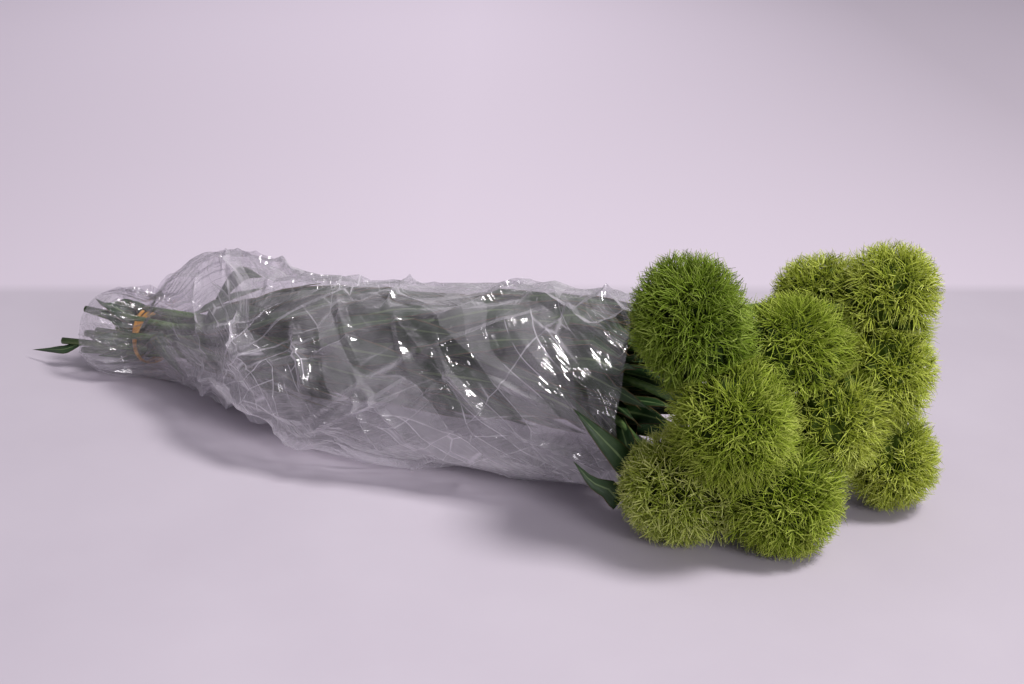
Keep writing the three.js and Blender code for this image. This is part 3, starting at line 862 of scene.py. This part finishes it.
def fold_of(kind, x, turn, heading, seed):
    """One fold of a kind: its place (x and degrees round), its heading along the sheet, half its
    length, half its width and its height out of the sheet, or its depth where it is a valley."""
    return {
        "x": x, "turn": turn, "heading": heading, "long": between(*kind["long"], seed + 3),
        "wide": between(*kind["wide"], seed + 4), "high": between(*kind["high"], seed + 5),
    }


def film_folds():
    """All folds: long slanting ones, broad facets, and the pleats where the film narrows."""
    folds = []
    for i in range(LONG_FOLDS["count"]):
        seed = i * 5.3 + 11
        x, turn = between(*FOLDED_STRETCH, seed + 1), between(*LONG_FOLDS["turns"], seed + 2)
        heading = between(*LONG_FOLDS["headings"], seed) * (1 if scatter(seed + 0.2) > 0.5 else -1)
        folds.append(fold_of(LONG_FOLDS, x, turn, heading, seed))
    for i in range(FACETS["count"]):
        seed = i * 3.9 + 701
        x, turn = between(*FOLDED_STRETCH, seed + 1), between(*FACETS["turns"], seed + 2)
        folds.append(fold_of(FACETS, x, turn, between(*FACETS["headings"], seed), seed))
    for i in range(PLEATS["count"]):
        seed = i * 7.1 + 301
        x = BAND["x"] + between(*PLEATS["places"], seed + 1)
        turn = -90 + 360 * i / PLEATS["count"] + between(-3, 3, seed + 2)
        folds.append(fold_of(PLEATS, x, turn, between(*PLEATS["headings"], seed), seed))
    return folds


def fold_frame(fold):
    """A fold's middle, and the ways along and across it, on the flat sheet."""
    middle = Vector((fold["x"], math.radians(fold["turn"]) * FILM_RADIUS, 0))
    heading = math.radians(fold["heading"])
    along = Vector((math.cos(heading), math.sin(heading), 0))
    return middle, along, Vector((-along.y, along.x, 0))


def fold_height(folds, point):
    """How far the folds lift the film at a point of the flat sheet."""
    height = 0
    for fold in folds:
        middle, along, across = fold["frame"]
        offset = point - middle
        away = abs(offset.dot(across)) / fold["wide"]
        if away >= 1:
            continue
        share = abs(offset.dot(along)) / fold["long"]
        if share < 1:
            height += fold["high"] * (1 - away) * (1 - share * share)
    return height


def flat_film(folds):
    """The flat sheet, cut along the crest and both feet of each fold."""
    bm = bmesh.new()
    bmesh.ops.create_grid(bm, x_segments=FILM_STEPS, y_segments=FILM_STRIPS, size=1)
    first, last = FILM_STATIONS[0][0], FILM_STATIONS[-1][0]
    for vert in bm.verts:
        x = first + (last - first) * (vert.co.x + 1) / 2
        turn = 90 + (180 + FILM_LAP) * vert.co.y
        vert.co = (x, math.radians(turn) * FILM_RADIUS, 0)
    for fold in folds:
        middle, along, across = fold["frame"] = fold_frame(fold)
        near = [
            face for face in bm.faces
            if abs((face.calc_center_median() - middle).dot(along)) < fold["long"] + FOLD_MARGINS[0]
            and abs((face.calc_center_median() - middle).dot(across)) < fold["wide"] + FOLD_MARGINS[1]
        ]
        for shift in (-fold["wide"], 0, fold["wide"]):
            faces = [face for face in near if face.is_valid]
            geom = list({e for f in faces for e in f.edges} | {v for f in faces for v in f.verts}) + faces
            cut = bmesh.ops.bisect_plane(
                bm, geom=geom, dist=0.05, plane_co=middle + across * shift, plane_no=across)
            near = [item for item in cut["geom"] if isinstance(item, bmesh.types.BMFace)]
    layer = bm.loops.layers.uv.new("UVMap")
    for face in bm.faces:
        for loop in face.loops:
            loop[layer].uv = loop.vert.co.xy / SHEET_PER_UV
    return bm


def film_material():
    """Film: clear, glossy, creased, a little milky; painted highlights on its creases, painted light where
    steep or low.
    """
    material, shader, add, link = new_material("clear_film")
    material.node_tree.nodes.remove(shader)
    out = material.node_tree.nodes["Material Output"]
    place = add("ShaderNodeTexCoord")
    split = add("ShaderNodeSeparateXYZ")
    link(place.outputs["Object"], split.inputs["Vector"])

    # Long cells lie over the flat sheet in two headings, and their borders are the creases. A
    # slow drift of the sheet's map keeps them from running alike.
    drift = add("ShaderNodeTexNoise", noise_dimensions="2D", Scale=0.7, Detail=1.0)
    drifted = add("ShaderNodeVectorMath", operation="ADD")
    falling = add("ShaderNodeMapping", vector_type="TEXTURE", Rotation=(0, 0, 0.9), Scale=(4.5, 1, 1))
    rising = add("ShaderNodeMapping", vector_type="TEXTURE", Rotation=(0, 0, -0.5), Scale=(2.6, 1, 1))
    cells = add("ShaderNodeTexVoronoi", voronoi_dimensions="2D", Scale=6.5)
    facets = add("ShaderNodeTexVoronoi", voronoi_dimensions="2D", feature="DISTANCE_TO_EDGE", Scale=6.5)
    creases = add("ShaderNodeTexVoronoi", voronoi_dimensions="2D", feature="DISTANCE_TO_EDGE", Scale=4.5)
    cell_tone = add("ShaderNodeSeparateXYZ")
    link(place.outputs["UV"], drift.inputs["Vector"])
    link(place.outputs["UV"], drifted.inputs[0])
    link(drift.outputs["Color"], drifted.inputs[1])
    link(drifted.outputs["Vector"], falling.inputs["Vector"])
    link(drifted.outputs["Vector"], rising.inputs["Vector"])
    link(falling.outputs["Vector"], cells.inputs["Vector"])
    link(falling.outputs["Vector"], facets.inputs["Vector"])
    link(rising.outputs["Vector"], creases.inputs["Vector"])
    link(cells.outputs["Color"], cell_tone.inputs["Vector"])

    # Relief: the cells stand out as facets, with fine ripples on them that break up the glints.
    ripples = add("ShaderNodeTexNoise", noise_dimensions="2D", Scale=25.0, Detail=1.0)
    rippled = add("ShaderNodeMath", operation="MULTIPLY_ADD")
    coarse = add("ShaderNodeBump", Strength=1.0, Distance=0.005)
    fine = add("ShaderNodeBump", Strength=1.0, Distance=0.005)
    rippled.inputs[1].default_value = 0.25
    link(falling.outputs["Vector"], ripples.inputs["Vector"])
    link(ripples.outputs["Fac"], rippled.inputs[0])
    link(facets.outputs["Distance"], rippled.inputs[2])
    link(rippled.outputs["Value"], coarse.inputs["Height"])
    link(creases.outputs["Distance"], fine.inputs["Height"])
    link(coarse.outputs["Normal"], fine.inputs["Normal"])

    # Painted highlights on the creases: thin white lines along the borders, in some patches and not in
    # others.
    patches = add("ShaderNodeTexNoise", Scale=16.0, Detail=3.0, Roughness=0.65)
    line = ramp(add, [(0.0, (0.9, 0.9, 0.9)), (0.04, (0, 0, 0))])
    thin_line = ramp(add, [(0.0, (0.8, 0.8, 0.8)), (0.025, (0, 0, 0))])
    broken = ramp(add, [(0.47, (0, 0, 0)), (0.62, (1, 1, 1))])
    lines = add("ShaderNodeMath", operation="ADD")
    some_painted_crease_glints = add("ShaderNodeMath", operation="MULTIPLY")
    painted_crease_glints = add("ShaderNodeMath", operation="MULTIPLY")
    link(place.outputs["Object"], patches.inputs["Vector"])
    link(facets.outputs["Distance"], line.inputs["Fac"])
    link(creases.outputs["Distance"], thin_line.inputs["Fac"])
    link(patches.outputs["Fac"], broken.inputs["Fac"])
    link(line.outputs["Color"], lines.inputs[0])
    link(thin_line.outputs["Color"], lines.inputs[1])
    link(lines.outputs["Value"], some_painted_crease_glints.inputs[0])
    link(broken.outputs["Color"], some_painted_crease_glints.inputs[1])
    link(some_painted_crease_glints.outputs["Value"], painted_crease_glints.inputs[0])
    link(cell_tone.outputs["Y"], painted_crease_glints.inputs[1])

    # Milkiness: by patch and by cell, with painted sheen where the film is steep to the eye and painted light
    # where it lies low.
    haze = ramp(add, [(0.42, (0.02, 0.02, 0.02)), (0.72, (0.21, 0.21, 0.21))])
    cell_haze = ramp(add, [(0.5, (0, 0, 0)), (1.0, (0.16, 0.16, 0.16))])
    hazes = add("ShaderNodeMath", operation="ADD")
    facing = add("ShaderNodeLayerWeight", Blend=0.5)
    steep = add("ShaderNodeMath", operation="POWER")
    # Painted sheen: the film is whiter where it is steep to the eye.
    painted_sheen = add("ShaderNodeMath", operation="MULTIPLY")
    haze_and_painted_sheen = add("ShaderNodeMath", operation="ADD")
    # Painted light: the film is whiter where it lies low.
    underside = add("ShaderNodeMapRange")
    haze_and_painted_light = add("ShaderNodeMath", operation="ADD")
    whitened = add("ShaderNodeMath", operation="ADD", use_clamp=True)
    steep.inputs[1].default_value = 4
    painted_sheen.inputs[1].default_value = 0.4
    underside.inputs["From Min"].default_value = 0.06
    underside.inputs["From Max"].default_value = 0.01
    underside.inputs["To Max"].default_value = 0.16
    link(patches.outputs["Fac"], haze.inputs["Fac"])
    link(cell_tone.outputs["X"], cell_haze.inputs["Fac"])
    link(cell_haze.outputs["Color"], hazes.inputs[0])
    link(haze.outputs["Color"], hazes.inputs[1])
    link(fine.outputs["Normal"], facing.inputs["Normal"])
    link(facing.outputs["Facing"], steep.inputs[0])
    link(steep.outputs["Value"], painted_sheen.inputs[0])
    link(hazes.outputs["Value"], haze_and_painted_sheen.inputs[0])
    link(painted_sheen.outputs["Value"], haze_and_painted_sheen.inputs[1])
    link(split.outputs["Z"], underside.inputs["Value"])
    link(haze_and_painted_sheen.outputs["Value"], haze_and_painted_light.inputs[0])
    link(underside.outputs["Result"], haze_and_painted_light.inputs[1])
    link(haze_and_painted_light.outputs["Value"], whitened.inputs[0])
    link(painted_crease_glints.outputs["Value"], whitened.inputs[1])

    # Round the band and the cut ends the film is clearer.
    past_band = add("ShaderNodeMapRange")
    thinned = add("ShaderNodeMath", operation="MULTIPLY")
    past_band.inputs["From Min"].default_value = -0.22
    past_band.inputs["From Max"].default_value = -0.16
    past_band.inputs["To Min"].default_value = 0.3
    link(split.outputs["X"], past_band.inputs["Value"])
    link(whitened.outputs["Value"], thinned.inputs[0])
    link(past_band.outputs["Result"], thinned.inputs[1])

    # The film itself: clear with a gloss that grows where it is steep, under the milky veil that also carries
    # the painted light.
    mirror = add("ShaderNodeMapRange")
    clear = add("ShaderNodeBsdfTransparent", Color=(0.99, 0.985, 0.995, 1))
    gloss = add("ShaderNodeBsdfGlossy", Color=(1, 1, 1, 1), Roughness=0.11)
    milk = add("ShaderNodeBsdfDiffuse", Color=(0.88, 0.86, 0.90, 1))
    glow = add("ShaderNodeBsdfTranslucent", Color=(0.88, 0.86, 0.90, 1))
    milky = add("ShaderNodeMixShader")
    shine = add("ShaderNodeMixShader")
    veil = add("ShaderNodeMixShader")
    mirror.inputs["To Min"].default_value = 0.065
    mirror.inputs["To Max"].default_value = 0.6
    link(steep.outputs["Value"], mirror.inputs["Value"])
    link(fine.outputs["Normal"], gloss.inputs["Normal"])
    link(mirror.outputs["Result"], shine.inputs["Fac"])
    link(clear.outputs["BSDF"], shine.inputs[1])
    link(gloss.outputs["BSDF"], shine.inputs[2])
    link(milk.outputs["BSDF"], milky.inputs[1])
    link(glow.outputs["BSDF"], milky.inputs[2])
    link(thinned.outputs["Value"], veil.inputs["Fac"])
    link(shine.outputs["Shader"], veil.inputs[1])
    link(milky.outputs["Shader"], veil.inputs[2])
    link(veil.outputs["Shader"], out.inputs["Surface"])
    return material


folds = film_folds()
bm = flat_film(folds)
mouth = FILM_STATIONS[-1][0]
for vert in bm.verts:
    x, turn = vert.co.x, vert.co.y / FILM_RADIUS
    lift = fold_height(folds, vert.co)
    lift += FILM_WAVE * noise.noise(Vector((x * 0.03, math.cos(turn) * 2, math.sin(turn) * 2)))
    lap = LAP_GAP if turn > math.radians(270 - FILM_LAP) else 0
    middle_y, middle_z, wide, high = film_at(x)
    y = middle_y + math.cos(turn) * (wide + lift + lap)
    z = max(middle_z + math.sin(turn) * (high + lift + lap), FLOOR_GAP + lap + max(lift, 0) * FLATTENED)
    share = min(max((x - FILM_SKEW_FROM) / (mouth - FILM_SKEW_FROM), 0), 1)
    skew = share * share * (3 - 2 * share) * FILM_SKEW
    uneven = noise.noise(Vector((math.cos(turn) * 2, math.sin(turn) * 2, 5)))
    ragged = MOUTH_RAGGED * share * (MOUTH_FURTHER + uneven)
    vert.co = (x - math.cos(turn) * skew + ragged, y, z)
bmesh.ops.triangulate(bm, faces=bm.faces)
bmesh.ops.recalc_face_normals(bm, faces=bm.faces)
bmesh.ops.solidify(bm, geom=bm.faces[:], thickness=FILM_THICKNESS)
film = finished("wrapped_film", bm, [film_material()])
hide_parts("film_sleeve")

# Studio: a lilac-white floor, paler where the backdrop starts and darkened towards the right by
# painted shade. A soft key light stands high on the right, a weaker one lower on the right and one
# over the backdrop, and a pale room fills the shade.
FLOOR_SIZE = 6
BACKDROP_DISTANCE = 1.194
BACKDROP_BLUR = 0.012
PAINTED_SHADE_REACH = 0.7


def floor_material():
    """Painted board: lilac-white and faintly mottled, with a paler board behind it, and painted shade
    darkening it to the right.
    """
    material, shader, add, link = new_material("pale_board")
    place = add("ShaderNodeTexCoord")
    turned = add("ShaderNodeMapping", vector_type="POINT", Rotation=(0, 0, -math.radians(CAMERA_HEADING)))
    split = add("ShaderNodeSeparateXYZ")
    mottle = add("ShaderNodeTexNoise", Scale=7.0, Detail=5.0)
    board = ramp(add, [(0.3, (0.58, 0.53, 0.60)), (0.7, (0.62, 0.57, 0.64))])
    link(place.outputs["Object"], turned.inputs["Vector"])
    link(turned.outputs["Vector"], split.inputs["Vector"])
    link(place.outputs["Object"], mottle.inputs["Vector"])
    link(mottle.outputs["Fac"], board.inputs["Fac"])

    heading = math.radians(CAMERA_HEADING)
    ahead = Vector((-math.sin(heading), math.cos(heading)))
    rightwards = Vector((math.cos(heading), math.sin(heading)))
    border = Vector(CAMERA_PLACE[:2]).dot(ahead) + BACKDROP_DISTANCE
    side = Vector(CAMERA_PLACE[:2]).dot(rightwards)
    behind = add("ShaderNodeMapRange")
    across = add("ShaderNodeMapRange")
    behind.inputs["From Min"].default_value = border - BACKDROP_BLUR
    behind.inputs["From Max"].default_value = border + BACKDROP_BLUR
    across.inputs["From Min"].default_value = side - PAINTED_SHADE_REACH
    across.inputs["From Max"].default_value = side + PAINTED_SHADE_REACH
    link(split.outputs["Y"], behind.inputs["Value"])
    link(split.outputs["X"], across.inputs["Value"])

    tone = add("ShaderNodeMix", data_type="RGBA")
    # Painted shade: the floor darkens towards the right, as if less light fell there.
    painted_shade_ramp = ramp(add, [(0.0, (1, 1, 1)), (0.45, (0.97, 0.97, 0.97)), (1.0, (0.62, 0.62, 0.62))])
    tone_with_painted_shade = add("ShaderNodeMix", data_type="RGBA", blend_type="MULTIPLY")
    tone.inputs["B"].default_value = (0.74, 0.67, 0.76, 1)
    tone_with_painted_shade.inputs["Factor"].default_value = 1
    link(behind.outputs["Result"], tone.inputs["Factor"])
    link(board.outputs["Color"], tone.inputs["A"])
    link(across.outputs["Result"], painted_shade_ramp.inputs["Fac"])
    link(tone.outputs["Result"], tone_with_painted_shade.inputs["A"])
    link(painted_shade_ramp.outputs["Color"], tone_with_painted_shade.inputs["B"])
    link(tone_with_painted_shade.outputs["Result"], shader.inputs["Base Color"])
    shader.inputs["Roughness"].default_value = 0.7
    return material


bm = bmesh.new()
bmesh.ops.create_grid(bm, x_segments=1, y_segments=1, size=FLOOR_SIZE)
mesh = bpy.data.meshes.new("floor")
bm.to_mesh(mesh)
bm.free()
mesh.materials.append(floor_material())
floor = bpy.data.objects.new("floor", mesh)
bpy.context.scene.collection.objects.link(floor)


def area_light(name, place, aim, size, power, colour):
    """A soft square light at a place, turned to what it lights."""
    light = bpy.data.objects.new(name, bpy.data.lights.new(name, "AREA"))
    light.location = place
    light.rotation_euler = (Vector(aim) - Vector(place)).to_track_quat("-Z", "Y").to_euler()
    light.data.size = size
    light.data.energy = power
    light.data.color = colour
    bpy.context.scene.collection.objects.link(light)


area_light("key", (1.27, 0.28, 2.05), (0.1, 0, 0.05), 0.5, 49, (1.0, 0.96, 0.97))
area_light("right", (2.2, -1.1, 1.2), (0.3, 0, 0.05), 0.8, 24, (1.0, 0.97, 1.0))
area_light("backdrop", (-0.7, 1.7, 2.1), (-1.3, 3.8, 0), 1.4, 30, (1.0, 0.96, 1.0))

world = bpy.data.worlds.new("pale_room")
world.use_nodes = True
world.node_tree.nodes["Background"].inputs["Color"].default_value = (0.84, 0.79, 0.89, 1)
world.node_tree.nodes["Background"].inputs["Strength"].default_value = 0.33
scene = bpy.context.scene
scene.world = world
scene.view_settings.view_transform = "Standard"
scene.cycles.transparent_max_bounces = 14
scene.cycles.max_bounces = 4
scene.cycles.diffuse_bounces = 2
scene.cycles.glossy_bounces = 2
